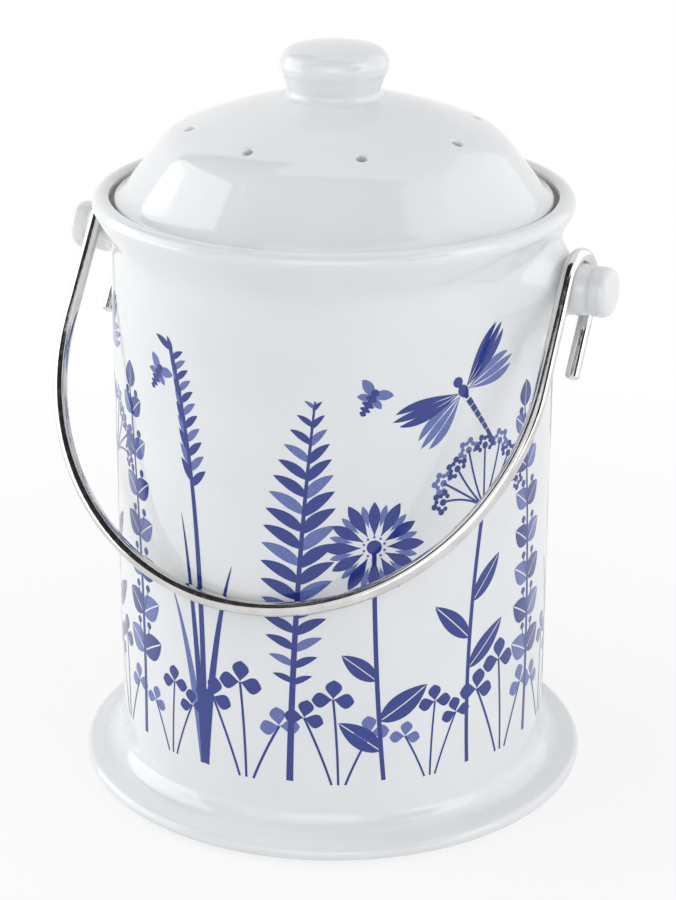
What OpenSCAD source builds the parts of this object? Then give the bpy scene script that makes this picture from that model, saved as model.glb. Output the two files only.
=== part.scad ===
// Ceramic compost caddy: a turned crock with two side pegs, a vented lift-off lid that holds
// a carbon pad, and a wire bail that hangs from the pegs.
// Millimetres. Z is up, the origin is the centre of the foot, the pegs lie along X.

/* [Crock] */
// Height of the crock up to the crest of its rolled rim
crock_h = 216.2; // [212:0.5:240]
// Radius of the straight wall
wall_r = 78.25; // [77.5:0.25:80]
// Thickness of the wall
wall_t = 6.05; // [5.5:0.1:6.3]
// Thickness of the floor
floor_t = 8; // [6:0.5:12]
// How far the wide flange at the base stands out from the wall
base_out = 14.25; // [12.75:0.25:18]
// Radius of the round on the edge of the base flange
flange_edge_r = 2.5; // [2:0.1:3]
// Radius of the sweep between the flange and the wall
heel_r = 8; // [5:0.5:10]
// Height of the unglazed foot ring under the flange
foot_h = 1.4; // [1:0.1:2]
// Width of the foot ring
foot_w = 4.6; // [4:0.2:8]
// How far the wall draws in at the slight waist under the rim
waist_in = 0.45; // [0.05:0.05:0.8]
// How far the rolled rim stands out from the wall
rim_out = 5.95; // [5.45:0.05:6.5]
// Radius of the roll on the rim
lip_r = 3.5; // [3:0.1:4]
// Angle at which the rim flares away from the wall
flare_a = 28; // [22:1:34]
// Radius of the hollow where the flare leaves the waist
flare_r = 12; // [8:1:16]
// Width of the rim outside the seat for the lid
lip_w = 5.9; // [5.5:0.1:6.2]
// Depth of the seat for the lid below the crest of the rim
seat_drop = 3.9; // [3.5:0.1:5]

/* [Lid] */
// Thickness of the lid
lid_t = 5; // [4:0.5:6]
// Radius of the round on the edge of the lid
lid_edge_r = 1.4; // [1.2:0.1:1.6]
// Radius of the hollow sweep inside the edge
hollow_r = 13; // [9:1:15]
// Slope of the flank of the dome
flank_a = 52; // [48:1:54]
// Length of the straight flank
flank_l = 16.6; // [14:0.2:18]
// Radius of the shoulder of the dome
shoulder_r = 22; // [18:1:26]
// Slope at which the shoulder runs into the crown
crown_a = 22; // [20:1:24]
// Depth of the locating ring under the lid
skirt_h = 9.3; // [8:0.1:12]
// Thickness of the locating ring
skirt_t = 5; // [4.5:0.1:5.2]
// Number of vent holes
vents = 8; // [4:1:12]
// Radius of a vent hole
vent_r = 1.8; // [1.2:0.1:2.5]
// How far the ring of vent holes lies inside the shoulder
vent_in = 2.8; // [1:0.2:6]
// Turn of the first vent hole from the peg
vent_a = 35; // [0:1:44]

/* [Knob] */
// Largest radius of the knob
knob_r = 18.95; // [18:0.1:20]
// Radius of the neck of the knob
knob_neck_r = 15.95; // [15:0.1:16.5]
// Height of the knob above the lid
knob_h = 18.6; // [17:0.2:24]
// Radius of the hollow where the knob meets the lid
knob_foot_r = 2.2; // [1.6:0.1:2.4]
// Radius of the round at the top edge of the knob
knob_edge_r = 6; // [4:0.5:6.5]
// Slope of the crowned top where it meets the round
knob_top_a = 14; // [8:1:18]

/* [Filter] */
// Thickness of the carbon pad
pad_t = 8; // [5:0.5:10]
// Radius of the wire of the retaining ring
ring_wire_r = 1.6; // [1.4:0.1:1.8]
// Opening between the ends of the retaining ring, in degrees
ring_gap_a = 24; // [10:2:60]
// How far the retaining ring sits in its groove
ring_bite = 1.4; // [1:0.1:1.5]

/* [Pegs] */
// Depth of the pegs below the crest of the rim
peg_drop = 24.9; // [24:0.1:30]
// Radius of the land on the peg that carries the bail
peg_neck_r = 9; // [7:0.5:9.5]
// How far the peg narrows between the land and the cap
peg_neck_in = 0.7; // [0.2:0.1:1.5]
// How far the cap stands out over the narrow part
peg_cap_lip = 0.3; // [0.2:0.1:1.5]
// Length of the cap
peg_cap_l = 7.2; // [6:0.2:10]
// Space between the hook and the cap of a peg
cap_gap = 1.95; // [0.6:0.05:3]
// Radius of the round on the end of the cap
peg_end_r = 3; // [2:0.2:4]
// Radius of the hollow between the land and the root
peg_root_r = 4.5; // [3:0.5:6]
// Slope of the root where it runs into the wall
peg_root_a = 48; // [44:1:52]

/* [Bail] */
// Radius of the bail's wire
wire_r = 2.5; // [2:0.1:2.6]
// Space between the bail's wire and the rim
bail_side_gap = 3.44; // [3.3:0.02:6]
// Depth of the bail below the pegs
bail_depth = 129.1; // [120:0.1:135]
// Length of the straight tail behind each peg
tail_l = 28.4; // [20:0.2:40]
// Sideways lean of the hooks, in degrees
hook_lean = 4; // [0:0.5:9]
// Bevel on the cut ends of the wire
wire_bevel = 0.6; // [0.2:0.1:1]

/* [Fits] */
// Running clearance of the bail's hooks on the necks of the pegs
hook_gap = 0.05; // [0.02:0.01:0.1]
// Gap between the resting bail and the wall
rest_gap = 0.3; // [0.2:0.05:0.5]
// Gap under the lid where it rests on its seat
seat_gap = 0.05; // [0.02:0.01:0.2]
// Gap between the locating ring and the mouth of the crock
skirt_gap = 0.8; // [0.5:0.1:1.5]
// Gap between the edge of the lid and the wall of its seat
lid_gap = 1.7; // [1:0.1:2]
// Gap between the pad and the locating ring
pad_gap = 0.1; // [0.05:0.05:0.3]
// Gap in the slip that joins the pegs to the wall
slip_gap = 0.03; // [0.02:0.01:0.06]

/* [Hidden] */
$fn = 96;
glaze = "whitesmoke";
steel = "silver";

// Foot and flange
foot_bevel = 0.6;
base_r = wall_r + base_out;
foot_out_r = base_r - flange_edge_r - foot_h;
foot_hollow = 2;
flange_z = foot_h + flange_edge_r;
flange_end_a = 82;
flange_rise = 0.5;
heel_z = foot_h + 2 * flange_edge_r + flange_rise + heel_r;

// Inside of the crock
mouth_r = wall_r - wall_t;
floor_z = foot_hollow + floor_t;
floor_fillet = 8;
mouth_round = 1;

// Rim: the roll, the flare and the hollow above the waist are tangent to each other
waist_r = wall_r - waist_in;
rim_r = wall_r + rim_out;
lip_c = [rim_r - lip_r, crock_h - lip_r];
flare_top = lip_c + lip_r * [cos(flare_a), -sin(flare_a)];
flare_foot_r = waist_r + flare_r * (1 - cos(flare_a));
flare_run = (flare_top[0] - flare_foot_r) / tan(flare_a);
waist_z = flare_top[1] - flare_run - flare_r * sin(flare_a);
taper_h = 12;
seat_z = crock_h - seat_drop;
seat_r = rim_r - lip_w;
seat_side_a = acos((seat_r - lip_c[0]) / lip_r);

// Lid
lid_r = seat_r - lid_gap;
lid_z = seat_z + seat_gap;
lid_edge_a = 60;
lid_edge = lid_edge_c() + lid_edge_r * [cos(lid_edge_a), sin(lid_edge_a)];
hollow_pts = sweep(lid_edge, hollow_r, 90 - lid_edge_a, flank_a);
flank_foot = last(hollow_pts);
flank_top = flank_foot + flank_l * [-cos(flank_a), sin(flank_a)];
shoulder_pts = sweep(flank_top, shoulder_r, flank_a, crown_a);
crown_foot = last(shoulder_pts);
knob_foot_a = 65;
knob_base_r = knob_neck_r + knob_foot_r * (1 - cos(knob_foot_a));
crown_end_a = 12;
crown_r = (crown_foot[0] - knob_base_r) / (sin(crown_a) - sin(crown_end_a));
crown_pts = sweep(crown_foot, crown_r, crown_a, crown_end_a);
crown_z = last(crown_pts)[1];
vent_ring_r = crown_foot[0] - vent_in;
skirt_out_r = mouth_r - skirt_gap;
skirt_in_r = skirt_out_r - skirt_t;
skirt_z = lid_z - skirt_h;
skirt_bevel = 1;

// Knob: the hollow over the foot, the round at the edge and the crown are arcs
knob_neck_a = 155;
knob_side_a = -35;
knob_join_r = knob_r - knob_edge_r + knob_edge_r * sin(knob_top_a);
knob_rise = knob_join_r * tan(knob_top_a / 2);
knob_join_z = crown_z + knob_h - knob_rise;

// Filter
groove_lip = 0.4;
ring_r = skirt_in_r + ring_bite - ring_wire_r;
ring_z = skirt_z + skirt_bevel + groove_lip + ring_wire_r;
pad_z = ring_z + ring_wire_r + seat_gap;
pad_r = skirt_in_r - pad_gap;
groove_gap = 0.05;

// Bail and pegs
peg_z = crock_h - peg_drop;
hook_off = peg_neck_r + hook_gap + wire_r;
hook_r = hook_off / cos(hook_lean);
hook_shift = hook_r * sin(hook_lean);
hook_wire_r = wire_r - 0.01;
hook_root_a = 2;
bow_r = rim_r + bail_side_gap + wire_r;
arm_l = bail_depth - bow_r;
rest_y = wall_r + rest_gap + wire_r;
bail_reach = norm([bail_depth, hook_off]);
bail_a = asin(rest_y / bail_reach) - atan(hook_off / bail_depth);
cap_ease = 0.6;
peg_neck_end = bow_r + 2 * hook_shift + wire_r + cap_gap;
peg_land_end = bow_r + 2 * hook_shift;
peg_end = peg_neck_end + peg_cap_l;

function last(list) = list[len(list) - 1];

// Centre of the round on the edge of the lid
function lid_edge_c() = [lid_r - lid_edge_r, lid_z + lid_edge_r];

// Points along an arc round centre c, from angle a0 to a1
function arc(c, r, a0, a1, n = 8) =
    [for (i = [0 : n]) let (a = a0 + (a1 - a0) * i / n) c + r * [cos(a), sin(a)]];

// Points of an arc that climbs inwards from p, while its slope turns from s0 to s1
function sweep(p, r, s0, s1, n = 8) =
    [for (i = [1 : n]) let (s = s0 + (s1 - s0) * i / n)
        p + r * [-abs(sin(s) - sin(s0)), abs(cos(s) - cos(s0))]];

// The same arc moved square to its slope into the clay by t
function sweep_under(p, r, s0, s1, t, n = 8) =
    [for (i = [0 : n]) let (s = s0 + (s1 - s0) * i / n)
        p + r * [-abs(sin(s) - sin(s0)), abs(cos(s) - cos(s0))] - t * [sin(s), cos(s)]];

// Outside of the crock from the foot ring up to the crest of the rim
function crock_outside() = concat(
    [[foot_out_r - foot_bevel, 0], [foot_out_r, foot_bevel], [foot_out_r, foot_h]],
    arc([base_r - flange_edge_r, flange_z], flange_edge_r, -90, flange_end_a, 12),
    arc([wall_r + heel_r, heel_z], heel_r, 270, 180),
    [[wall_r, waist_z - taper_h]],
    arc([waist_r + flare_r, waist_z], flare_r, 180, 180 - flare_a, 6),
    arc(lip_c, lip_r, -flare_a, seat_side_a, 14));

// Seat of the lid, inside and floor of the crock, and the hollow inside the foot ring
function crock_inside() = concat(
    [[seat_r, seat_z]],
    arc([mouth_r + mouth_round, seat_z - mouth_round], mouth_round, 90, 180, 4),
    arc([mouth_r - floor_fillet, floor_z + floor_fillet], floor_fillet, 0, -90),
    [[0, floor_z], [0, foot_hollow], [foot_out_r - foot_w - foot_bevel, foot_hollow],
     [foot_out_r - foot_w, 0]]);

module crock() {
    color(glaze) rotate_extrude() polygon(concat(crock_outside(), crock_inside()));
}

// Outline of a peg, as radius and distance from the axis of the crock: a sloping root, a hollow,
// a land that starts under the wire of the hook, a narrow part and a cap with a round end
function peg_outline(land_start) =
    let (hollow = arc([peg_neck_r + peg_root_r, land_start], peg_root_r, 180 + peg_root_a, 180),
         root_out = hollow[0][0] + (hollow[0][1] - mouth_r) * tan(peg_root_a),
         narrow_r = peg_neck_r - peg_neck_in, cap_r = narrow_r + peg_cap_lip)
    concat([[0, mouth_r], [root_out, mouth_r]], hollow,
        [[peg_neck_r, peg_land_end], [narrow_r, peg_neck_end - cap_ease], [narrow_r, peg_neck_end],
         [cap_r, peg_neck_end + cap_ease]],
        arc([cap_r - peg_end_r, peg_end - peg_end_r], peg_end_r, 0, 90),
        [[0, peg_end]]);

// A peg is luted to the wall, so its root follows the outside of the crock up over the rim
module peg(side, land_start) {
    over_rim = crock_h + peg_drop;
    color(glaze) difference() {
        translate([0, 0, peg_z]) rotate([0, side * 90, 0])
            rotate_extrude() polygon(peg_outline(land_start));
        rotate_extrude() polygon(concat([[0, 0]],
            [for (p = crock_outside()) p + [slip_gap, 0]],
            [[seat_r + slip_gap, over_rim], [0, over_rim]]));
    }
}

// The left hook leans towards the wall, so the land of the left peg starts nearer the wall
module peg_left() {
    peg(-1, bow_r - 2 * hook_shift);
}

module peg_right() {
    peg(1, bow_r);
}

// Outside of the lid from the locating ring up to the flat that carries the knob
function lid_outside() = concat(
    [[skirt_out_r - skirt_bevel, skirt_z], [skirt_out_r, skirt_z + skirt_bevel],
     [skirt_out_r, lid_z]],
    arc(lid_edge_c(), lid_edge_r, -90, lid_edge_a),
    hollow_pts, [flank_top], shoulder_pts, crown_pts, [[0, crown_z]]);

// Underside of the lid, listed from the flank in to the axis
function lid_underside() = concat(
    [[skirt_in_r, skirt_z], [skirt_in_r, flank_foot[1] - lid_t * cos(flank_a)
        + (flank_foot[0] - lid_t * sin(flank_a) - skirt_in_r) * tan(flank_a)]],
    sweep_under(flank_top, shoulder_r, flank_a, crown_a, lid_t),
    sweep_under(crown_foot, crown_r, crown_a, crown_end_a, lid_t),
    [[0, crown_z - lid_t]]);

// Vent holes are punched square to the shoulder
module vent_holes() {
    for (i = [0 : vents - 1])
        rotate([0, 0, vent_a + i * 360 / vents])
            translate([vent_ring_r, 0, crown_foot[1]]) rotate([0, crown_a, 0])
                cylinder(h = 6 * lid_t, r = vent_r, center = true);
}

module lid() {
    under = lid_underside();
    color(glaze) difference() {
        rotate_extrude() polygon(concat(lid_outside(),
            [for (i = [len(under) - 1 : -1 : 0]) under[i]]));
        vent_holes();
        translate([0, 0, ring_z]) rotate_extrude()
            translate([ring_r, 0]) circle(r = ring_wire_r + groove_gap, $fn = 24);
    }
}

// Knob with a hollow foot, a flared side, a rounded edge and a crowned top
module lid_knob() {
    neck_c = [knob_neck_r + knob_foot_r, crown_z + knob_foot_r * sin(knob_foot_a)];
    edge_c = [knob_r - knob_edge_r, knob_join_z - knob_edge_r * cos(knob_top_a)];
    color(glaze) rotate_extrude() polygon(concat(
        [[0, crown_z]],
        arc(neck_c, knob_foot_r, 180 + knob_foot_a, knob_neck_a),
        arc(edge_c, knob_edge_r, knob_side_a, 90 - knob_top_a, 12),
        sweep([knob_join_r, knob_join_z], knob_join_r / sin(knob_top_a), knob_top_a, 0)));
}

// Pad of carbon foam that rests on the ring, under the vents
module carbon_pad() {
    color([0.09, 0.09, 0.1]) translate([0, 0, pad_z]) cylinder(h = pad_t, r = pad_r);
}

// Open spring ring that snaps into the groove of the locating ring
module pad_ring() {
    color(steel) translate([0, 0, ring_z]) rotate([0, 0, ring_gap_a / 2])
        rotate_extrude(angle = 360 - ring_gap_a)
            translate([ring_r, 0]) circle(r = ring_wire_r, $fn = 24);
}

// One hook: over the neck of a peg and down behind it, drawn with the bail hanging down.
// The bend is drawn a hair thinner than the wire, so its ends root inside the straight runs.
module hook(x) {
    translate([x + hook_shift, 0, 0]) rotate([0, 0, -90 - hook_lean]) rotate([90, 0, 0])
        rotate([0, 0, -hook_root_a]) rotate_extrude(angle = 180 + 2 * hook_root_a)
            translate([hook_r, 0]) circle(r = hook_wire_r, $fn = 32);
    translate([x + 2 * hook_shift, hook_off, wire_bevel - tail_l])
        cylinder(h = tail_l - wire_bevel, r = wire_r, $fn = 32);
    translate([x + 2 * hook_shift, hook_off, -tail_l])
        cylinder(h = wire_bevel, r1 = wire_r - wire_bevel, r2 = wire_r, $fn = 32);
}

// Bail bent from one wire: a half-round bow, two straight arms and two hooks
module bail() {
    color(steel) translate([0, 0, peg_z]) rotate([-bail_a, 0, 0]) {
        translate([0, -hook_off, -arm_l]) rotate([-90, 0, 0])
            rotate_extrude(angle = 180) translate([bow_r, 0]) circle(r = wire_r, $fn = 32);
        for (x = [-bow_r, bow_r]) {
            translate([x, -hook_off, -arm_l]) cylinder(h = arm_l, r = wire_r, $fn = 32);
            hook(x);
        }
    }
}

crock();
peg_left();
peg_right();
lid();
lid_knob();
carbon_pad();
pad_ring();
bail();
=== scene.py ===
"""Looks of the ceramic compost caddy: glazed clay, a blue meadow print, polished wire and carbon foam."""

import math

import bpy
from mathutils import Matrix, Vector


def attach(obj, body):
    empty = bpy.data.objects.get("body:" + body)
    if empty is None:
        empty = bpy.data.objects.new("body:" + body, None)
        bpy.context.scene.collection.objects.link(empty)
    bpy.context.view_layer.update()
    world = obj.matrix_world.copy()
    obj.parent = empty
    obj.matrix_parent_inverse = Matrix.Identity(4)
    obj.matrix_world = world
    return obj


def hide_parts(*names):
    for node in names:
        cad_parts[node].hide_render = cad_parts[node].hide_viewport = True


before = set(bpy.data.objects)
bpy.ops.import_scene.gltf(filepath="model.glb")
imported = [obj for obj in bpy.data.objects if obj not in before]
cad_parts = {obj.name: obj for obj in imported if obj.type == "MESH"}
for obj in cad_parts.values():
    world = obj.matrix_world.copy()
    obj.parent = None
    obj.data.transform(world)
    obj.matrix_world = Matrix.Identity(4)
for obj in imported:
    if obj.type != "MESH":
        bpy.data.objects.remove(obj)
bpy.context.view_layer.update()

MM = 0.001
ROUND = 2 * math.pi

# Crock, in millimetres, as in the part's source: radii, heights, and the centre of the rolled lip
WALL_R = 78.25
HEEL_R = 8
WAIST_R = 77.8
WAIST_Z = 196.83
NECK_R = 12
INNER_R = 72.2
FLOOR_Z = 10.0
SEAT_R = 78.3
SEAT_Z = 212.3
LIP_R = 3.5
LIP_C = (80.7, 212.7)
FOOT_R = 83.0

# Slope of the neck below the lip, in degrees
FLARE = 28

# Pegs, in millimetres: height of their axis, and radius of the land that carries the bail
PEG_Z = 191.3
LAND_R = 9

# Angle round the caddy at which the camera stands, from the front towards the right, in degrees
FACING = 24.7


def point_on(centre, radius, degrees):
    a = math.radians(degrees)
    return (centre[0] + radius * math.cos(a), centre[1] + radius * math.sin(a))


def arc(centre, radius, start, end, steps=10):
    return [point_on(centre, radius, start + (end - start) * i / steps) for i in range(steps + 1)]


def climb(foot, radius, slope_from, slope_to, steps=14):
    """An arc that climbs inwards from its foot while its slope turns from one angle to the other."""
    out = []
    for i in range(1, steps + 1):
        s0 = math.radians(slope_from)
        s = math.radians(slope_from + (slope_to - slope_from) * i / steps)
        out.append((foot[0] - radius * abs(math.sin(s) - math.sin(s0)),
                    foot[1] + radius * abs(math.cos(s) - math.cos(s0))))
    return out


def evened(outline, longest=4.0):
    """The same outline with its long straight stretches divided, so that the glaze shades evenly."""
    out = [outline[0]]
    for a, b in zip(outline, outline[1:]):
        run = math.hypot(b[0] - a[0], b[1] - a[1])
        if run < 1e-5:
            continue
        cuts = max(1, math.ceil(run / longest))
        stops = [i / cuts for i in range(1, cuts + 1)]
        if cuts > 1:
            stops = sorted(stops + [0.5 / run, 1 - 0.5 / run])
        out += [(a[0] + (b[0] - a[0]) * t, a[1] + (b[1] - a[1]) * t) for t in stops]
    return out


def deselect():
    bpy.ops.object.select_all(action="DESELECT")


def chosen(piece):
    deselect()
    piece.select_set(True)
    bpy.context.view_layer.objects.active = piece
    return piece


def settle(piece):
    """Puts the place of a piece into its mesh."""
    chosen(piece)
    bpy.ops.object.transform_apply(location=True, rotation=True, scale=True)
    return piece


def turned(name, outline, steps=240, along_x=0.0, centre_z=0.0):
    """A form turned on the wheel: one point is drawn out along the outline and spun about the axis.
    With along_x the outline is (distance from the axis, distance along X), and the axis is level."""
    line = evened(outline)
    if along_x:
        line = [(along_x * x, centre_z + r) for r, x in line]
    deselect()
    bpy.ops.mesh.primitive_plane_add(size=MM, location=(line[0][0] * MM, 0, line[0][1] * MM))
    piece = bpy.context.object
    piece.name = piece.data.name = name
    bpy.ops.object.mode_set(mode="EDIT")
    bpy.ops.mesh.merge(type="CENTER")
    for a, b in zip(line, line[1:]):
        bpy.ops.mesh.extrude_region_move(
            TRANSFORM_OT_translate={"value": ((b[0] - a[0]) * MM, 0, (b[1] - a[1]) * MM)})
    bpy.ops.mesh.select_all(action="SELECT")
    bpy.ops.mesh.spin(steps=steps, angle=ROUND, center=(0, 0, centre_z * MM),
                      axis=(1, 0, 0) if along_x else (0, 0, 1))
    bpy.ops.mesh.select_all(action="SELECT")
    bpy.ops.mesh.remove_doubles(threshold=0.004 * MM)
    bpy.ops.mesh.normals_make_consistent(inside=False)
    bpy.ops.object.mode_set(mode="OBJECT")
    settle(piece)
    bpy.ops.object.shade_smooth()
    return piece


def finish_with(piece, modifier):
    chosen(piece)
    bpy.ops.object.modifier_apply(modifier=modifier.name)


# Materials


def finish(name, **values):
    """A new material whose shader has these plain values."""
    m = bpy.data.materials.new(name)
    m.use_nodes = True
    shader = m.node_tree.nodes["Principled BSDF"]
    for socket, value in values.items():
        shader.inputs[socket.replace("_", " ")].default_value = value
    return m, m.node_tree.nodes, m.node_tree.links, shader


def object_noise(nodes, links, scale, detail):
    """Noise in the piece's own space, in cycles per metre."""
    where = nodes.new("ShaderNodeTexCoord")
    noise = nodes.new("ShaderNodeTexNoise")
    noise.inputs["Scale"].default_value = scale
    noise.inputs["Detail"].default_value = detail
    links.new(where.outputs["Object"], noise.inputs["Vector"])
    return noise.outputs["Fac"]


def ramp(nodes, links, fac, low, high, start=0.35, end=0.65):
    """Turns noise into a blend of two colours, or of two grey values."""
    r = nodes.new("ShaderNodeValToRGB")
    for element, place, value in zip(r.color_ramp.elements, (start, end), (low, high)):
        element.position = place
        element.color = (*value, 1) if isinstance(value, tuple) else (value, value, value, 1)
    links.new(fac, r.inputs["Fac"])
    return r.outputs["Color"]


def bumped(nodes, links, shader, layers):
    """Stacks bumps on the shader, each of a height field and a depth in millimetres."""
    last = None
    for height, depth in layers:
        b = nodes.new("ShaderNodeBump")
        b.inputs["Strength"].default_value = 1
        b.inputs["Distance"].default_value = depth * MM
        links.new(height, b.inputs["Height"])
        if last:
            links.new(last, b.inputs["Normal"])
        last = b.outputs["Normal"]
    links.new(last, shader.inputs["Normal"])


def surfaced(name, tones, grain, relief, gloss=None, spread=(0.35, 0.65), **values):
    """A material whose colour drifts between two tones, with fine relief and an uneven gloss. A grain is the
    scale and detail of a noise, relief lists grains and depths, and gloss is two roughnesses and a grain."""
    m, nodes, links, shader = finish(name, **values)
    links.new(ramp(nodes, links, object_noise(nodes, links, *grain), *tones, *spread),
              shader.inputs["Base Color"])
    if gloss:
        links.new(ramp(nodes, links, object_noise(nodes, links, *gloss[2]), *gloss[:2]),
                  shader.inputs["Roughness"])
    bumped(nodes, links, shader, [(object_noise(nodes, links, *fine), depth) for fine, depth in relief])
    return m


def glazed(name, tones, grain, gloss, spread=(0.35, 0.65)):
    """Clear glossy glaze over a ground: slow waves from the dip, and a fine orange peel."""
    return surfaced(name, tones, grain, [((34, 1), 0.30), ((210, 2), 0.012)], (*gloss, (90, 3)), spread,
                    IOR=1.52, Coat_Weight=0.25, Coat_Roughness=0.03)


def blue_print(name, deep, light):
    """Printed blue under the same glaze, with the speckle of a transfer."""
    return glazed(name, (deep, light), (2300, 2), (0.08, 0.14), (0.42, 0.72))


def carbon_foam():
    m, nodes, links, shader = finish("carbon_foam", Roughness=0.95, Specular_IOR_Level=0.25)
    where = nodes.new("ShaderNodeTexCoord")
    cells = nodes.new("ShaderNodeTexVoronoi")
    cells.inputs["Scale"].default_value = 750
    links.new(where.outputs["Object"], cells.inputs["Vector"])
    # The colour is darker at the centres of the foam's cells: painted shade in its pores.
    pore_shade = ramp(nodes, links, cells.outputs["Distance"], (0.004, 0.004, 0.0045), (0.035, 0.035, 0.037),
                 0.05, 0.55)
    links.new(pore_shade, shader.inputs["Base Color"])
    bumped(nodes, links, shader, [(cells.outputs["Distance"], 0.5),
                                  (object_noise(nodes, links, 2400, 3), 0.15)])
    return m


GLAZE = glazed("white_glaze", ((0.790, 0.804, 0.812), (0.822, 0.834, 0.840)), (28, 3), (0.07, 0.13))
# Bare clay: the real colour of the unglazed foot ring. On the seats where lid and rim meet it is also painted
# shade that darkens the crevice between them.
CLAY_AND_GAP_SHADE = surfaced("bare_clay_and_gap_shade", ((0.50, 0.47, 0.43), (0.62, 0.59, 0.54)), (700, 4), [((2600, 3), 0.06)],
                Roughness=0.85)
COBALT = blue_print("cobalt_print", (0.012, 0.030, 0.225), (0.024, 0.050, 0.290))
WASH = blue_print("wash_print", (0.095, 0.135, 0.400), (0.165, 0.215, 0.490))
WIRE = surfaced("polished_wire", ((0.62, 0.612, 0.60), (0.72, 0.712, 0.70)), (120, 4),
                [((260, 2), 0.02), ((3200, 2), 0.002)], (0.06, 0.16, (420, 5)), Metallic=1.0)
SPRING = surfaced("spring_wire", ((0.46, 0.46, 0.47), (0.60, 0.60, 0.61)), (300, 4),
                  [((4000, 2), 0.004)], (0.25, 0.42, (900, 4)), Metallic=1.0)
FOAM = carbon_foam()


# Crock: floor, straight wall, waist, rolled rim with the seat of the lid, and the wide flange at the base

FLANGE = arc((90.0, 3.9), 2.5, -90, 82, 18)
WALL = (arc((WALL_R + HEEL_R, 14.9), HEEL_R, 270, 180, 18) + [(WALL_R, WAIST_Z - NECK_R)]
        + arc((WAIST_R + NECK_R, WAIST_Z), NECK_R, 180, 180 - FLARE, 10))
LIP = arc(LIP_C, LIP_R, -FLARE, 133.3, 22)


def wall_at(height):
    """Radius of the outside of the crock at a height between the heel and the rim."""
    for low, high in zip(WALL[18:] + LIP, WALL[19:] + LIP):
        if low[1] <= height <= high[1]:
            return low[0] + (high[0] - low[0]) * (height - low[1]) / (high[1] - low[1])


def make_crock():
    foot_out = arc((88.2, 0.65), 0.4, 300, 360, 4) + [(88.6, 1.4)]
    seat = [(SEAT_R, SEAT_Z + 0.8)] + arc((SEAT_R - 0.6, SEAT_Z + 0.6), 0.6, 0, -90, 5)
    mouth = arc((INNER_R + 1, SEAT_Z - 1), 1, 90, 180, 7)
    bottom = arc((INNER_R - HEEL_R, FLOOR_Z + HEEL_R), HEEL_R, 0, -90, 14)
    under = [(0, 2.0), (FOOT_R, 2.0)] + arc((83.4, 1.6), 0.4, 90, 0, 3) + arc((84.4, 0.4), 0.4, 180, 270, 4)
    around = (under + [(88.2, 0.0)] + foot_out + FLANGE + WALL + LIP + seat + mouth + bottom
              + [(0, FLOOR_Z)])
    crock = turned("crock_glazed", around)
    crock.data.materials.append(GLAZE)
    crock.data.materials.append(CLAY_AND_GAP_SHADE)
    # Bare clay on the foot ring, which is unglazed, and on the seat of the lid, where the darker clay is also
    # painted shade that deepens the crevice between lid and rim.
    for face in crock.data.polygons:
        r, z = math.hypot(face.center.x, face.center.y) / MM, face.center.z / MM
        on_foot = z < 0.9 and r > FOOT_R
        seat_clay_and_shade = SEAT_Z - 0.2 < z < SEAT_Z + 1.6 and 73.5 < r < SEAT_R + 0.1
        if on_foot or seat_clay_and_shade:
            face.material_index = 1
    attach(crock, "crock")
    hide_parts("crock")
    return crock


def make_peg(name, side, land):
    """A peg turned with a trumpet root, a land that carries the bail, and a rounded cap. The brim of the
    trumpet is then pressed against the crock and runs into its wall, as the slip does under the glaze."""
    blend, sunk, deep = 3.0, 0.15, 2.2
    sweep, slope, ring = 4.5, 48, 0.8
    hollow = arc((LAND_R + sweep, land), sweep, 180 + slope, 180, 12)
    root_r, root_x = hollow[0]
    steep = math.tan(math.radians(slope))
    brim = [(root_r + ring * i, root_x - ring * i / steep) for i in range(24, 0, -1)]
    brim_r, back = brim[0][0], brim[0][1] - 2
    cap = [(LAND_R, 91.3), (8.98, 91.8), (8.35, 95.1), (8.3, 95.6), (8.3, 96.2), (8.38, 96.5), (8.55, 96.9),
           (8.6, 97.4)] + arc((5.4, 100.2), 3.2, 0, 80, 12) + [(3.0, 103.39), (0, 103.4)]
    peg = turned(name, [(0, back), (brim_r, back)] + brim + hollow + cap, 144, side, PEG_Z)

    def clay(r, across, up):
        return math.sqrt(wall_at(PEG_Z + r * up) ** 2 - (r * across) ** 2)

    edges = {}
    for v in peg.data.vertices:
        x, y, z = side * v.co.x / MM, v.co.y / MM, v.co.z / MM - PEG_Z
        r = max(math.hypot(y, z), 0.001)
        if r < root_r + 0.01 and x > back + 0.01:
            continue
        across, up = y / r, z / r
        way = round(math.degrees(math.atan2(y, z)), 1)
        if way not in edges:
            run = root_r
            while root_x - (run - root_r) / steep > clay(run, across, up) - blend:
                run += 0.1
            edges[way] = root_r + (run - root_r) / 0.85
        share = (r - root_r) / (brim_r - root_r)
        if x > back + 0.01:
            r = root_r + share * (edges[way] - root_r)
            cone, wall = root_x - (r - root_r) / steep, clay(r, across, up)
            near = max(0, 1 - abs(cone - wall) / blend)
            x = max(cone, wall) + blend * near ** 2 / 4 - sunk * max(0, share - 0.85) / 0.15
        else:
            r *= edges[way] / brim_r
            x = clay(r, across, up) - deep
        v.co = (side * x * MM, r * across * MM, (PEG_Z + r * up) * MM)
    peg.data.materials.append(GLAZE)
    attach(peg, "crock")
    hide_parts(name.replace("_glazed", ""))
    return peg


# Lid: a dome with a hollow sweep at its edge, a ring below with a groove for the spring ring, and vents

LID_R = 76.6
LID_Z = 212.35
EDGE_R = 1.4
EDGE_C = (LID_R - EDGE_R, LID_Z + EDGE_R)

# Slopes of the dome from its edge up to the knob, in degrees
EDGE_SLOPE, FLANK_SLOPE, SHOULDER_SLOPE, CROWN_SLOPE = 30, 52, 22, 12
FLANK = 16.6
SHOULDER_R = 22
KNOB_FOOT_R = 17.22


def sin(degrees):
    return math.sin(math.radians(degrees))


def cos(degrees):
    return math.cos(math.radians(degrees))


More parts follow.
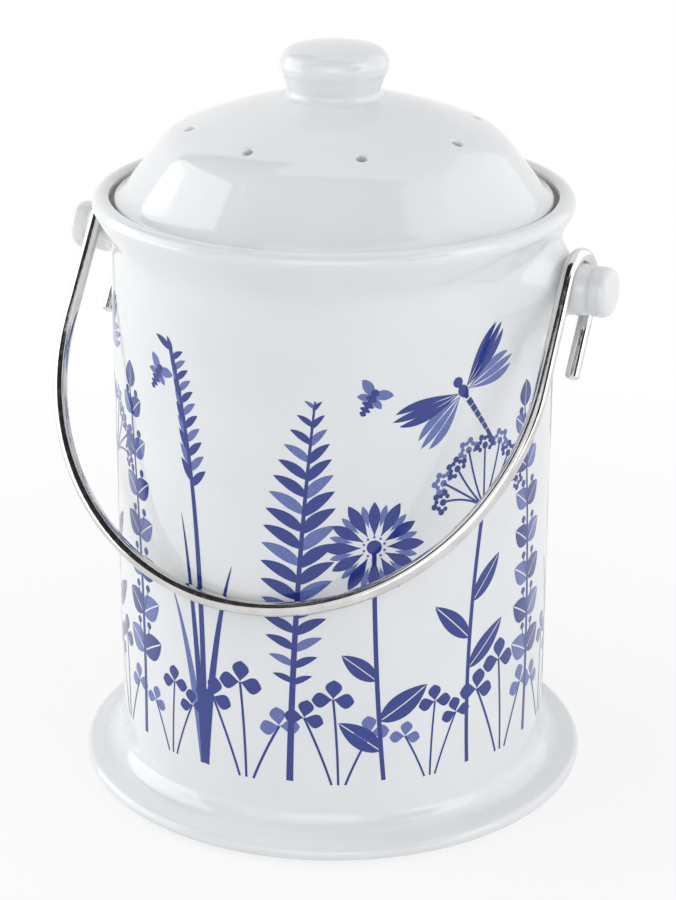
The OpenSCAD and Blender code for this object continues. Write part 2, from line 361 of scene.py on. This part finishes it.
HOLLOW = climb(point_on(EDGE_C, EDGE_R, 90 - EDGE_SLOPE), 13, EDGE_SLOPE, FLANK_SLOPE, 10)
FLANK_TOP = (HOLLOW[-1][0] - FLANK * cos(FLANK_SLOPE), HOLLOW[-1][1] + FLANK * sin(FLANK_SLOPE))
SHOULDER = climb(FLANK_TOP, SHOULDER_R, FLANK_SLOPE, SHOULDER_SLOPE, 12)
CROWN_R = (SHOULDER[-1][0] - KNOB_FOOT_R) / (sin(SHOULDER_SLOPE) - sin(CROWN_SLOPE))
CROWN = climb(SHOULDER[-1], CROWN_R, SHOULDER_SLOPE, CROWN_SLOPE, 12)
CROWN_Z = CROWN[-1][1]
VENTS = 8
FIRST_VENT = 35
VENT_R = 1.8
VENT_RING_R = SHOULDER[-1][0] - 2.8
SKIRT_OUT = 71.4
SKIRT_IN = 66.4
SKIRT_Z = 203.05
RING_Z = 206.05
RING_R = 66.2


def under_the_dome(thickness=5.0):
    """Underside of the lid, listed from the locating ring in to the axis."""
    def under(foot, radius, a, b):
        out = []
        for i in range(11):
            s = a + (b - a) * i / 10
            out.append((foot[0] - radius * abs(sin(s) - sin(a)) - thickness * sin(s),
                        foot[1] + radius * abs(cos(s) - cos(a)) - thickness * cos(s)))
        return out
    reach = HOLLOW[-1][0] - thickness * sin(FLANK_SLOPE) - SKIRT_IN
    meet = HOLLOW[-1][1] - thickness * cos(FLANK_SLOPE) + reach * math.tan(math.radians(FLANK_SLOPE))
    return ([(SKIRT_IN, meet)] + under(FLANK_TOP, SHOULDER_R, FLANK_SLOPE, SHOULDER_SLOPE)
            + under(SHOULDER[-1], CROWN_R, SHOULDER_SLOPE, CROWN_SLOPE) + [(0, CROWN_Z - thickness)])


def make_vent_punch(i):
    """The tool that punches one vent: a straight pin whose top flares, so the hole gets a soft lip."""
    soft, deep, proud = 0.85, 9, 0.6
    flare = arc((VENT_R + soft, -soft), soft, 180, 92, 7) + [(VENT_R + soft, proud), (0, proud)]
    punch = turned("vent_punch", [(0, -deep), (VENT_R, -deep)] + flare, 32)
    top = SHOULDER[-1]
    rise = (top[0] - VENT_RING_R) * math.tan(math.radians(SHOULDER_SLOPE - 0.5))
    punch.matrix_world = (Matrix.Rotation(math.radians(FIRST_VENT + 360 / VENTS * i), 4, "Z")
                          @ Matrix.Translation(Vector((VENT_RING_R, 0, top[1] + rise)) * MM)
                          @ Matrix.Rotation(math.radians(SHOULDER_SLOPE), 4, "Y"))
    return settle(punch)


def make_lid():
    skirt = ([(SKIRT_IN, RING_Z + 1.65)] + arc((RING_R, RING_Z), 1.65, 82, -82, 10)[1:-1]
             + [(SKIRT_IN, RING_Z - 1.65)])
    foot = (arc((SKIRT_IN + 0.8, SKIRT_Z + 0.8), 0.8, 180, 270, 5)
            + arc((SKIRT_OUT - 0.9, SKIRT_Z + 0.9), 0.9, 270, 360, 6))
    under = under_the_dome()
    edge = arc(EDGE_C, EDGE_R, -90, 90 - EDGE_SLOPE, 12)
    dome = HOLLOW + [FLANK_TOP] + SHOULDER + CROWN + [(0, CROWN_Z)]
    lid = turned("lid_glazed", list(reversed(under)) + skirt + foot + [(SKIRT_OUT, LID_Z)] + edge + dome)
    for i in range(VENTS):
        punch = make_vent_punch(i)
        cut = lid.modifiers.new("vent", "BOOLEAN")
        cut.operation, cut.solver, cut.object = "DIFFERENCE", "EXACT", punch
        finish_with(lid, cut)
        bpy.data.objects.remove(punch)
    bpy.ops.object.shade_smooth_by_angle(angle=math.radians(50))
    lid.data.materials.clear()
    lid.data.materials.append(GLAZE)
    lid.data.materials.append(CLAY_AND_GAP_SHADE)
    # Bare clay under the lid's edge, where it rests on the seat. There the darker clay is also painted shade
    # that deepens the crevice between lid and rim.
    for face in lid.data.polygons:
        r, z = math.hypot(face.center.x, face.center.y) / MM, face.center.z / MM
        face.material_index = int(LID_Z - 0.05 < z < LID_Z + 0.6 and r > SKIRT_OUT + 0.5)
    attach(lid, "lid")
    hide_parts("lid")
    return lid


def make_knob():
    """Knob with a hollow foot that the glaze fills, a flared side, a round edge and a crowned top."""
    neck, foot, widest, edge, high, slope, sunk = 15.95, 2.2, 18.95, 6, 18.6, 14, 0.3
    neck_c = (neck + foot, CROWN_Z + foot * sin(65))
    join_r = widest - edge + edge * sin(slope)
    join_z = CROWN_Z + high - join_r * math.tan(math.radians(slope / 2))
    edge_c = (widest - edge, join_z - edge * cos(slope))
    crown = climb((join_r, join_z), join_r / sin(slope), slope, 0, 10)
    outline = ([(0, CROWN_Z - sunk), (17.4, CROWN_Z - sunk)] + arc(neck_c, foot, 258, 155, 14)
               + arc(edge_c, edge, -35, 90 - slope, 18) + crown[:-1] + [(0, crown[-1][1])])
    knob = turned("lid_knob_glazed", outline, 160)
    knob.data.materials.append(GLAZE)
    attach(knob, "lid")
    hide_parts("lid_knob")
    return knob


def make_pad():
    """Pad of carbon foam: soft at its edges, with an uneven, open face."""
    pad_r, low, high, soft = 64.9, 209.0, 214.4, 1.25
    pad = turned("carbon_pad_foam", [(0, low - soft), (pad_r - 0.3, low - soft)]
                 + arc((pad_r, low), soft, 270, 360, 5) + arc((pad_r, high), soft, 0, 90, 5)
                 + [(0, high + soft)], 200)
    rough = bpy.data.textures.new("foam_pores", "CLOUDS")
    rough.noise_scale = 2.2 * MM
    swell = pad.modifiers.new("pore_shade", "DISPLACE")
    swell.texture, swell.texture_coords, swell.strength, swell.mid_level = rough, "GLOBAL", 0.7 * MM, 1.0
    finish_with(pad, swell)
    pad.data.materials.append(FOAM)
    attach(pad, "lid")
    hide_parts("carbon_pad")
    return pad


crock = make_crock()
make_peg("peg_left_glazed", -1, 88.52)
make_peg("peg_right_glazed", 1, 90.14)
make_lid()
make_knob()
make_pad()
for node, material in (("bail", WIRE), ("pad_ring", SPRING)):
    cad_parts[node].data.materials.clear()
    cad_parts[node].data.materials.append(material)


# Blue print: leaves, stems, flowers and insects are drawn flat in millimetres, X along the wall and Z up,
# in a deep and a pale ink, and the finished meadow is then laid round the wall

# The films of ink lie a hair apart where motifs cross
FILM = {COBALT: -0.02, WASH: 0.0}


def bezier(points, t):
    while len(points) > 1:
        points = [tuple(a + (b - a) * t for a, b in zip(p, q)) for p, q in zip(points, points[1:])]
    return points[0]


def stroke(ink, spine, left, right=None, along=10, across=1):
    """One flat brush stroke: a grid laid along the spine, with a width to each side of it in millimetres."""
    right = right or left
    deselect()
    bpy.ops.mesh.primitive_grid_add(x_subdivisions=across, y_subdivisions=along, size=2)
    piece = bpy.context.object
    for v in piece.data.vertices:
        s, t = (v.co.x + 1) / 2, (v.co.y + 1) / 2
        x, z = bezier(spine, t)
        x1, z1 = bezier(spine, min(1, t + 0.01))
        x0, z0 = bezier(spine, max(0, t - 0.01))
        run = math.hypot(x1 - x0, z1 - z0)
        off = -left(t) + (left(t) + right(t)) * s
        v.co = (x + off * (z1 - z0) / run, FILM[ink], z - off * (x1 - x0) / run)
    piece.data.materials.append(ink)
    return piece


def even(width):
    return lambda t: width


def belly(width, fullest=0.45, tip=0.02):
    """Width of a leaf along its length: pointed at both ends and fullest part of the way up."""
    power = math.log(0.5) / math.log(fullest)
    return lambda t: max(tip, width * math.sin(math.pi * t ** power) ** 0.8)


def taper(width, tip=0.05):
    return lambda t: width * (1 - t) ** 0.7 + tip


def dot(ink, x, z, radius, sides=12):
    deselect()
    bpy.ops.mesh.primitive_circle_add(vertices=sides, radius=radius, fill_type="NGON",
                                      rotation=(math.pi / 2, 0, 0), location=(x, FILM[ink], z))
    piece = settle(bpy.context.object)
    piece.data.materials.append(ink)
    return piece


def placed(shape, x, z, turn=0.0, size=1.0, flip=1):
    """A copy of a flat shape with its own mesh, turned and put at its place."""
    piece = shape.copy()
    piece.data = shape.data.copy()
    bpy.context.scene.collection.objects.link(piece)
    piece.data.transform(Matrix.Translation((x, 0, z)) @ Matrix.Rotation(math.radians(-turn), 4, "Y")
                         @ Matrix.Diagonal((size * flip, 1, size, 1)))
    return piece


def drop(*shapes):
    for s in shapes:
        bpy.data.objects.remove(s)


def joined(shapes):
    deselect()
    for s in shapes:
        s.select_set(True)
    bpy.context.view_layer.objects.active = shapes[0]
    bpy.ops.object.join()
    return bpy.context.object


def veined_leaf(ink, length, width, gap=0.22):
    """Two half leaves with a bare vein between them."""
    w = belly(width)
    spine = [(0, 0), (0.1 * width, length / 2), (0, length)]
    inner = lambda t: -min(gap, w(t) - 0.01)
    return joined([stroke(ink, spine, w, inner), stroke(ink, spine, inner, w)])


def on_stem(spine, t):
    """A place on a stem and the way the stem points there, in degrees from upright."""
    x, z = bezier(spine, t)
    x1, z1 = bezier(spine, t - 0.02)
    return x, z, math.degrees(math.atan2(x - x1, z - z1))


def fern(height, lean):
    """A frond: one arched stem with pairs of narrow leaves that shorten towards the tip."""
    spine = [(0, 0), (0.15 * lean, 0.5 * height), (lean, height)]
    parts = [stroke(COBALT, spine, taper(0.95, 0.3), along=30)]
    leaves = [stroke(ink, [(0, 0), (1.0, 6), (-0.8, 12)], belly(1.75), across=2) for ink in (COBALT, WASH)]
    pairs = 17
    for i in range(pairs):
        x, z, aim = on_stem(spine, 0.27 + 0.71 * i / (pairs - 1))
        size = 1.30 * math.sin(math.pi * (0.16 + 0.80 * i / pairs)) ** 0.9
        for side in (-1, 1):
            ink = (i + (side > 0)) % 3 == 2
            parts.append(placed(leaves[ink], x + 0.5 * side, z - (0.8 if side < 0 else 0),
                                aim + side * (62 - 1.2 * i), size, side))
    drop(*leaves)
    return joined(parts)


def umbel(height, lean, rays=9):
    """A cow parsley head: rays that fan out of one point, each with a round tuft of florets."""
    spine = [(0, 0), (-0.5 * lean, 0.5 * height), (lean, height)]
    parts = [stroke(COBALT, spine, even(0.8), along=24)]
    x, z = spine[-1]
    for i in range(rays):
        a = math.radians(-80 + 160 * i / (rays - 1))
        reach = 20 - 2.5 * abs(math.sin(a)) + (2.0 if i % 2 else 0)
        tip = (x + reach * math.sin(a), z + reach * math.cos(a) + 2)
        ray = [(x, z), (x + 0.55 * reach * math.sin(a), z + 0.35 * reach), tip]
        parts.append(stroke(COBALT, ray, even(0.38), along=8))
        ink = WASH if i % 2 else COBALT
        for k in range(9):
            b = a + math.radians(-120 + 30 * k)
            far, floret = (3.5, 1.15) if k % 2 else (2.6, 0.85)
            parts.append(dot(ink, tip[0] + far * math.sin(b), tip[1] + far * math.cos(b), floret, 10))
        parts.append(dot(ink, *tip, 1.3, 10))
    leaf = veined_leaf(COBALT, 22, 3.7)
    for t, turn in ((0.38, -48), (0.50, 44), (0.64, -40)):
        parts.append(placed(leaf, *bezier(spine, t), turn, 1.15 - t * 0.4))
    drop(leaf)
    return joined(parts)


def daisy(height, lean, petals=12):
    """A daisy: long petals over a paler row, round an open centre, on a stem with broad leaves."""
    spine = [(0, 0), (0.9 * lean, 0.45 * height), (lean, height)]
    parts = [stroke(COBALT, spine, even(0.8), along=22)]
    x, z = spine[-1]
    petal = stroke(COBALT, [(0, 4.6), (0, 10), (0, 17.5)], belly(2.15, 0.62, 0.15), across=2)
    under = stroke(WASH, [(0, 7.5), (0, 11), (0, 15.5)], belly(1.2, 0.62, 0.1), across=2)
    for i in range(petals):
        parts.append(placed(petal, x, z, 360 * i / petals, 1.0 if i % 2 else 0.93))
        parts.append(placed(under, x, z, 360 * (i + 0.5) / petals))
    parts.append(dot(COBALT, x, z, 2.6, 20))
    for i in range(10):
        a = ROUND * i / 10
        parts.append(dot(WASH, x + 3.7 * math.sin(a), z + 3.7 * math.cos(a), 0.5, 8))
    leaf = veined_leaf(COBALT, 20, 4.3)
    for t, turn, k in ((0.14, 52, 0.95), (0.28, -56, 1.05), (0.46, 50, 0.8)):
        parts.append(placed(leaf, *bezier(spine, t), turn, k))
    drop(petal, under, leaf)
    return joined(parts)


def sprig(height, lean, pairs=7):
    """A twig with round paired leaves and berries."""
    spine = [(0, 0), (-0.4 * lean, 0.5 * height), (lean, height)]
    parts = [stroke(COBALT, spine, taper(0.7, 0.3), along=22)]
    leaves = [veined_leaf(ink, 11.5, 4.4, 0.26) for ink in (COBALT, WASH)]
    for i in range(pairs):
        t = 0.25 + 0.68 * i / (pairs - 1)
        x, z = bezier(spine, t)
        size = 1.12 - 0.05 * i
        for side in (-1, 1):
            leaf = leaves[(i + (side > 0)) % 2]
            parts.append(placed(leaf, x + 0.3 * side, z, side * (60 - 2 * i), size, side))
            stalk = [(x, z), (x + 2.2 * side, z + 5), (x + 3.4 * side, z + 8.8 * size)]
            parts.append(stroke(COBALT, stalk, even(0.25), along=6))
            parts.append(dot(COBALT, x + 3.4 * side, z + 9.6 * size, 1.35, 12))
    parts.append(placed(leaves[0], *spine[-1], math.degrees(math.atan2(lean, height)), 0.85))
    drop(*leaves)
    return joined(parts)


def clover(height):
    """Low three-part leaves on thin stalks."""
    parts = []
    lobes = [stroke(ink, [(0, 0.3), (0, 3.1), (0, 6.4)], belly(2.5, 0.62, 0.1), across=2)
             for ink in (COBALT, WASH)]
    for i, (x, k, lean) in enumerate(((-6.5, 0.60, -4.5), (0.5, 1.0, 1.5), (7.0, 0.78, 5.0))):
        top = (x + lean, height * k)
        parts.append(stroke(COBALT, [(x * 0.35, 0), (x * 0.9, 0.5 * height * k), top], even(0.42)))
        for turn in (-96, 0, 96):
            parts.append(placed(lobes[i == 0], *top, turn + 2 * lean, 0.85 + 0.3 * k))
    drop(*lobes)
    return joined(parts)


def reed(height, lean):
    """A reed that nods, with a loose row of long seeds over broad blades."""
    spine = [(0, 0), (-0.1 * lean, 0.75 * height), (lean, height)]
    parts = [stroke(COBALT, spine, taper(0.9, 0.3), along=26)]
    seeds = [stroke(ink, [(0, 0), (0.7, 3.8), (0, 8)], belly(1.3), along=7, across=2)
             for ink in (COBALT, WASH)]
    for i in range(11):
        x, z, aim = on_stem(spine, 0.58 + 0.40 * i / 10)
        for side, low in ((-1, 1.6), (1, 0)):
            parts.append(placed(seeds[i % 2], x, z - low, aim + side * 36, 1.1 - 0.03 * i, side))
    parts.append(placed(seeds[0], *spine[-1], 60))
    for ink, reach, rise, wide in ((WASH, 1.1, 0.42, 1.9), (COBALT, -1.0, 0.52, 1.7), (COBALT, 0.7, 0.62, 1.4)):
        blade = [(0, 0), (0.4 * reach * lean, 0.7 * rise * height), (reach * lean, rise * height)]
        parts.append(stroke(ink, blade, taper(wide), along=16))
    drop(*seeds)
    return joined(parts)


def dragonfly():
    """A dragonfly: a jointed body and two pairs of long wings with bare cells."""
    parts = [dot(COBALT, 0, 8.2, 1.9, 14),
             stroke(COBALT, [(0, 6.8), (0, 4), (0, 0.8)], belly(2.0, 0.45, 0.6), across=2)]
    for i in range(7):
        width = even(1.1 - 0.07 * i)
        parts.append(stroke(COBALT, [(0, 0.2 - 3 * i), (0, -2.5 - 3 * i)], width, along=2))
    for ink, turn, length, width in ((COBALT, 72, 27, 1.2), (WASH, 104, 24, 1.35)):
        for k in (-1, 0, 1):
            vein = [(0, 2), (k * 3.2 * width, 0.55 * length), (k * 1.9 * width, length - 1.7 * abs(k))]
            cell = stroke(ink, vein, belly(1.4, 0.62), along=12, across=2)
            for side in (-1, 1):
                parts.append(placed(cell, 0, 4, side * turn, 1, side))
            drop(cell)
    return joined(parts)


def bee():
    """A small bee: a banded body and four short wings."""
    parts = [dot(COBALT, 0, 5.6, 1.5, 12)]
    for z, w, h in ((3.1, 2.0, 1.5), (0.7, 2.3, 1.2), (-1.3, 1.9, 1.0), (-3.0, 1.2, 1.0)):
        parts.append(stroke(COBALT, [(-w, z), (0, z + 0.3), (w, z)], belly(h, 0.5, 0.35), across=2))
    wing = stroke(WASH, [(0, 0), (1.2, 4.3), (0, 8.9)], belly(1.9, 0.6), across=2)
    for turn, k in ((58, 1.0), (104, 0.7)):
        for side in (-1, 1):
            parts.append(placed(wing, 1.1 * side, 3.1, side * turn, k, side))
    drop(wing)
    return joined(parts)


def round_the_wall(shape, degrees, height, turn=0.0, size=1.0, flip=1, lift=0.04):
    """Lays a copy of a flat motif on the wall, with its foot at this angle and height."""
    piece = placed(shape, 0, 0, turn, size, flip)
    for face in piece.data.polygons:
        if face.normal.y > 0:
            face.flip()
    for v in piece.data.vertices:
        a = math.radians(degrees) + v.co.x / WALL_R
        r = (WALL_R + lift - v.co.y) * MM
        v.co = (r * math.sin(a), -r * math.cos(a), (v.co.z + height) * MM)
    return piece


def print_the_meadow():
    """The whole print: fifteen plants with low clover between them, and flyers above the low ones."""
    plants = {"fern": fern(140, 9), "daisy": daisy(88, -4), "umbel": umbel(96, 5), "sprig": sprig(126, -6),
              "reed": reed(146, -12), "clover": clover(33), "dragonfly": dragonfly(), "bee": bee()}
    row = ["fern", "daisy", "umbel", "sprig", "reed"]
    rounds = ((1.0, 1, 34), (0.95, -1, -38), (1.03, 1, 30))
    step = 360 / (len(row) * len(rounds))
    bee_beside = {"sprig": 9, "daisy": -5}
    laid = []
    for i in range(len(row) * len(rounds)):
        kind = row[i % len(row)]
        size, flip, dragonfly_turn = rounds[i // len(row)]
        at = FACING - 11 + step * i
        laid.append(round_the_wall(plants[kind], at, 25, 0, size, flip))
        laid.append(round_the_wall(plants["clover"], at + 12.5, 24, 0, (1.0, 0.86, 1.1)[i % 3],
                                   flip if i % 2 else -flip, 0.05))
        if kind == "umbel":
            laid.append(round_the_wall(plants["dragonfly"], at - 2, 161, dragonfly_turn, 1.0, flip))
        if kind in bee_beside:
            laid.append(round_the_wall(plants["bee"], at + bee_beside[kind], 163, -30 * flip, 0.95, flip))
    drop(*plants.values())
    meadow = joined(laid)
    meadow.name = meadow.data.name = "crock_print"
    chosen(meadow)
    bpy.ops.object.mode_set(mode="EDIT")
    bpy.ops.mesh.select_all(action="SELECT")
    bpy.ops.mesh.remove_doubles(threshold=0.01 * MM)
    bpy.ops.object.mode_set(mode="OBJECT")
    bpy.ops.object.shade_smooth()
    shading = meadow.modifiers.new("glaze_shading", "DATA_TRANSFER")
    shading.object, shading.use_loop_data = crock, True
    shading.data_types_loops, shading.loop_mapping = {"CUSTOM_NORMAL"}, "POLYINTERP_NEAREST"
    finish_with(meadow, shading)
    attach(meadow, "crock")


print_the_meadow()


# Studio: a white floor and surround, soft side lamps, and dark cards that only the wire and the glaze mirror


def seen_or_mirrored(nodes, links):
    """1 on a ray from the camera or out of a mirror, so that metal and glaze show the same white surround."""
    path = nodes.new("ShaderNodeLightPath")
    seen = nodes.new("ShaderNodeMath")
    seen.operation = "MAXIMUM"
    links.new(path.outputs["Is Camera Ray"], seen.inputs[0])
    links.new(path.outputs["Is Glossy Ray"], seen.inputs[1])
    return seen.outputs[0]


def make_floor():
    """White paper that keeps a soft shadow near the foot and is plain white farther out."""
    deselect()
    bpy.ops.mesh.primitive_plane_add(size=14, location=(0, 0, 0))
    floor = settle(bpy.context.object)
    floor.name = "studio_floor"
    m, nodes, links, shader = finish("studio_paper", Roughness=0.9, Base_Color=(0.86, 0.865, 0.87, 1))
    where = nodes.new("ShaderNodeTexCoord")
    far = nodes.new("ShaderNodeVectorMath")
    far.operation = "LENGTH"
    links.new(where.outputs["Object"], far.inputs[0])
    fade = nodes.new("ShaderNodeMapRange")
    for socket, value in (("From Min", 0.10), ("From Max", 0.45), ("To Min", 0.80), ("To Max", 1.0)):
        fade.inputs[socket].default_value = value
    links.new(far.outputs["Value"], fade.inputs["Value"])
    share = nodes.new("ShaderNodeMath")
    share.operation = "MULTIPLY"
    links.new(seen_or_mirrored(nodes, links), share.inputs[0])
    links.new(fade.outputs["Result"], share.inputs[1])
    white = nodes.new("ShaderNodeEmission")
    white.inputs["Strength"].default_value = 1.0
    mix = nodes.new("ShaderNodeMixShader")
    links.new(share.outputs[0], mix.inputs["Fac"])
    links.new(shader.outputs["BSDF"], mix.inputs[1])
    links.new(white.outputs["Emission"], mix.inputs[2])
    links.new(mix.outputs["Shader"], nodes["Material Output"].inputs["Surface"])
    floor.data.materials.append(m)


def make_surround():
    """Soft light from all round, and plain white where the camera or a mirror looks past the floor."""
    world = bpy.data.worlds.new("studio")
    bpy.context.scene.world = world
    world.use_nodes = True
    nodes, links = world.node_tree.nodes, world.node_tree.links
    soft = nodes["Background"]
    soft.inputs["Color"].default_value = (0.95, 0.97, 1.0, 1)
    soft.inputs["Strength"].default_value = SURROUND
    white = nodes.new("ShaderNodeBackground")
    white.inputs["Color"].default_value = (1, 1, 1, 1)
    mix = nodes.new("ShaderNodeMixShader")
    links.new(seen_or_mirrored(nodes, links), mix.inputs["Fac"])
    links.new(soft.outputs["Background"], mix.inputs[1])
    links.new(white.outputs["Background"], mix.inputs[2])
    links.new(mix.outputs["Shader"], nodes["World Output"].inputs["Surface"])


def from_camera(right, up, away):
    """A place given as metres to the right of, above and behind the object, seen from the camera."""
    a = math.radians(FACING)
    return (right * math.cos(a) - away * math.sin(a), right * math.sin(a) + away * math.cos(a), up)


def lamp(name, place, size, size_y, power):
    light = bpy.data.lights.new(name, "AREA")
    light.shape, light.size, light.size_y, light.energy = "RECTANGLE", size, size_y, power
    holder = bpy.data.objects.new(name, light)
    bpy.context.scene.collection.objects.link(holder)
    holder.location = from_camera(*place)
    holder.rotation_euler = (MIDDLE - holder.location).to_track_quat("-Z", "Y").to_euler()


def span(degrees):
    """Width that covers this angle from a metre away."""
    return 2 * math.tan(math.radians(degrees / 2))


def dark_card(name, side, rise, wide, high):
    """A black card that only shows in reflections. It stands a metre off, so many degrees to the side of the
    camera and above the caddy, and covers so many degrees."""
    deselect()
    bpy.ops.mesh.primitive_plane_add(size=1)
    card = bpy.context.object
    card.name = name
    a, b = math.radians(side), math.radians(rise)
    out = Vector(from_camera(math.sin(a) * math.cos(b), math.sin(b), -math.cos(a) * math.cos(b)))
    card.matrix_world = (Matrix.Translation(MIDDLE + out)
                         @ (-out).to_track_quat("-Z", "Y").to_matrix().to_4x4()
                         @ Matrix.Diagonal((span(wide), span(high), 1, 1)))
    settle(card)
    card.data.materials.append(finish("dark_card", Base_Color=(0.02, 0.02, 0.02, 1), Roughness=1.0)[0])
    card.visible_camera = card.visible_diffuse = card.visible_shadow = False


def add_camera(place, look, lens, roll):
    """The photograph's camera, fitted to the outlines of the rim, the lid, the pegs and the flange."""
    data = bpy.data.cameras.new("photo_camera")
    data.sensor_width = 36
    data.lens = lens
    data.clip_start, data.clip_end = 0.05, 30
    camera = bpy.data.objects.new("photo_camera", data)
    bpy.context.scene.collection.objects.link(camera)
    bpy.context.scene.camera = camera
    camera.location = place
    camera.rotation_mode = "QUATERNION"
    camera.rotation_quaternion = (Vector(look).to_track_quat("-Z", "Y")
                                  @ Matrix.Rotation(math.radians(roll), 3, "Z").to_quaternion())


# Strength of the light from all round, and the point that lamps and cards face
SURROUND = 0.49
MIDDLE = Vector((0, 0, 0.13))

make_floor()
make_surround()
lamp("lamp_left", (-0.85, 0.46, 0.12), 1.00, 1.10, 6.0)
lamp("lamp_right", (1.25, 0.60, 0.45), 1.6, 1.6, 3.6)
lamp("lamp_window", (1.30, 0.85, -0.85), 1.3, 1.3, 8.6)
lamp("lamp_front", (-0.2, 0.7, -1.9), 1.4, 1.0, 5.8)
dark_card("card_left", -68, 30, 34, 40)
dark_card("card_high", -12, 66, 66, 40)
dark_card("card_right", 42, 27, 26, 28)
dark_card("card_back", -112, 52, 44, 40)

add_camera((0.34761, -0.75575, 0.43523), (-0.38886, 0.84980, -0.35586), 98.22, 0.167)

bpy.context.scene.view_settings.view_transform = "Standard"
deselect()
